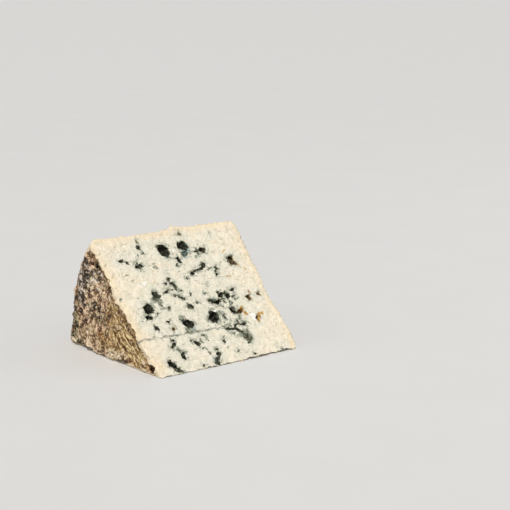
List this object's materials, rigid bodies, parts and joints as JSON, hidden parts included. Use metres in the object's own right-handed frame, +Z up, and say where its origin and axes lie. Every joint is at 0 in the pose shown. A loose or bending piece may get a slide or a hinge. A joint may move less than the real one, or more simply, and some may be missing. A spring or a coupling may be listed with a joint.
{
  "type": "blue cheese wedge",
  "caption": "Wedge of crumbly ivory cheese lying on a cut side, with dark mould-lined eyes in its sloping cut face and a rough mottled natural rind.",
  "frame": {"origin": "middle of the bounding box's bottom, on the flat cut side that the wedge lies on", "axes": "+X along the axis of the wheel that the wedge was cut from, +Y from the wedge's tip edge to its round rim, +Z up"},
  "size_m": [0.1014, 0.0924, 0.0641],
  "materials": {
    "cheese": "moist crumbly ivory paste with dark blue-green mould in its eyes, and a dry mottled brown and grey rind"
  },
  "bodies": {
    "root": {"cheese": "cheese"}
  },
  "joints": []
}
